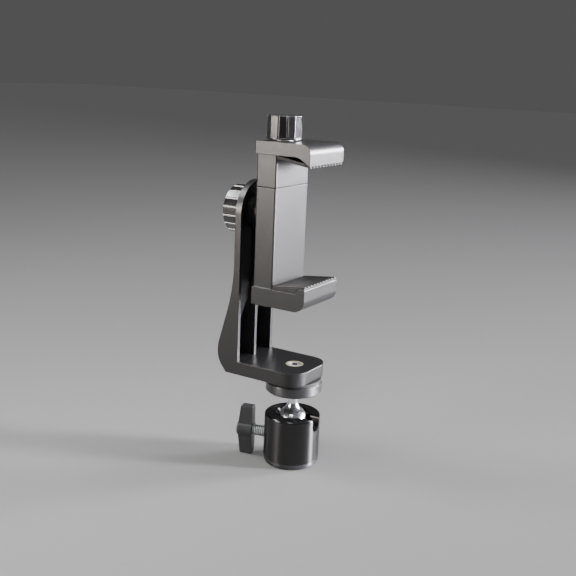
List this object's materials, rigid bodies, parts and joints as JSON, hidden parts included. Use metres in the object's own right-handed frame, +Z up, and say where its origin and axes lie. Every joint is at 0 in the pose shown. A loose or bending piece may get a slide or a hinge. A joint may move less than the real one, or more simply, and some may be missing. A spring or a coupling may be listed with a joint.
{
  "type": "phone tripod mount",
  "caption": "Upright phone clamp with a screw-closed jaw, carried by an L bracket on a mini ball head with a wing lock and a tripod socket below.",
  "frame": {"origin": "mouth of the tripod socket, in the middle of the base's underside", "axes": "+Z up along the ball head, -Y the side that the phone's screen faces, +X to the right of someone who looks at the screen"},
  "size_m": [0.0324, 0.0533, 0.1782],
  "materials": {
    "black_abs": "moulded black ABS with a fine texture",
    "gloss_abs": "polished black ABS",
    "wing_nylon": "dark grey moulded nylon",
    "black_anodised": "turned aluminium, anodised black",
    "satin_plate": "turned aluminium, dark satin anodising",
    "chrome_plate": "polished chrome plate",
    "zinc_steel": "zinc plated steel",
    "pale_brass": "turned brass",
    "black_rubber": "moulded black rubber",
    "white_nylon": "natural nylon"
  },
  "bodies": {
    "ball_head": {"base_plate": "black_anodised", "ball_housing": "black_anodised", "ball_seat": "white_nylon"},
    "brake": {"brake_plug": "white_nylon"},
    "lock": {"lock_screw": "zinc_steel", "lock_wing": "wing_nylon"},
    "stem": {"ball_stem": "chrome_plate"},
    "bracket": {"camera_plate": "satin_plate", "plate_disc": "black_rubber", "l_bracket": "black_abs", "foot_insert": "pale_brass"},
    "pivot_washer": {"rear_washer": "zinc_steel"},
    "pivot_grip": {"pivot_knob": "gloss_abs", "pivot_bolt": "zinc_steel"},
    "clamp": {"clamp_body": "black_abs", "pivot_insert": "pale_brass", "friction_washer": "black_rubber", "clamp_nut": "zinc_steel", "lower_pad": "black_rubber"},
    "jaw": {"upper_jaw": "black_abs", "upper_pad": "black_rubber"},
    "clamp_drive": {"clamp_screw": "zinc_steel", "retaining_clip": "zinc_steel", "knob_washer": "zinc_steel", "clamp_knob": "gloss_abs"}
  },
  "joints": [
    {"name": "ball_tilt", "type": "hinge", "parent": "ball_head", "child": "stem", "pos_m": [0, 0, 0.0222], "axis": [1, 0, 0], "range_deg": [-30, 90]},
    {"name": "ball_turn", "type": "hinge", "parent": "stem", "child": "bracket", "pos_m": [0, 0, 0.0222], "axis": [0, 0, 1], "continuous": true},
    {"name": "clamp_swivel", "type": "hinge", "parent": "bracket", "child": "clamp", "pos_m": [0, 0.0247, 0.1294], "axis": [0, 1, 0], "continuous": true},
    {"name": "jaw_slide", "type": "slide", "parent": "clamp", "child": "jaw", "axis": [0, 0, 1], "range_m": [0, 0.027]},
    {"name": "clamp_screw_turn", "type": "hinge", "parent": "jaw", "child": "clamp_drive", "pos_m": [0, 0.0115, 0.1667], "axis": [0, 0, 1], "range_deg": [0, 12150]},
    {"name": "pivot_slide", "type": "slide", "parent": "bracket", "child": "pivot_washer", "axis": [0, 1, 0], "range_m": [0, 0.001]},
    {"name": "pivot_turn", "type": "hinge", "parent": "pivot_washer", "child": "pivot_grip", "pos_m": [0, 0.03, 0.1294], "axis": [0, 1, 0], "range_deg": [0, 360]},
    {"name": "lock_slide", "type": "slide", "parent": "ball_head", "child": "brake", "axis": [-0.2588, 0.9659, 0], "range_m": [0, 0.002]},
    {"name": "lock_turn", "type": "hinge", "parent": "brake", "child": "lock", "pos_m": [0, 0, 0.0135], "axis": [-0.2588, 0.9659, 0], "range_deg": [0, 720]}
  ],
  "couplings": [
    {"joint": "clamp_screw_turn", "follows": "jaw_slide", "rad_per_m": 7854},
    {"joint": "pivot_turn", "follows": "pivot_slide", "rad_per_m": 6283.2},
    {"joint": "lock_turn", "follows": "lock_slide", "rad_per_m": 6283.2}
  ]
}
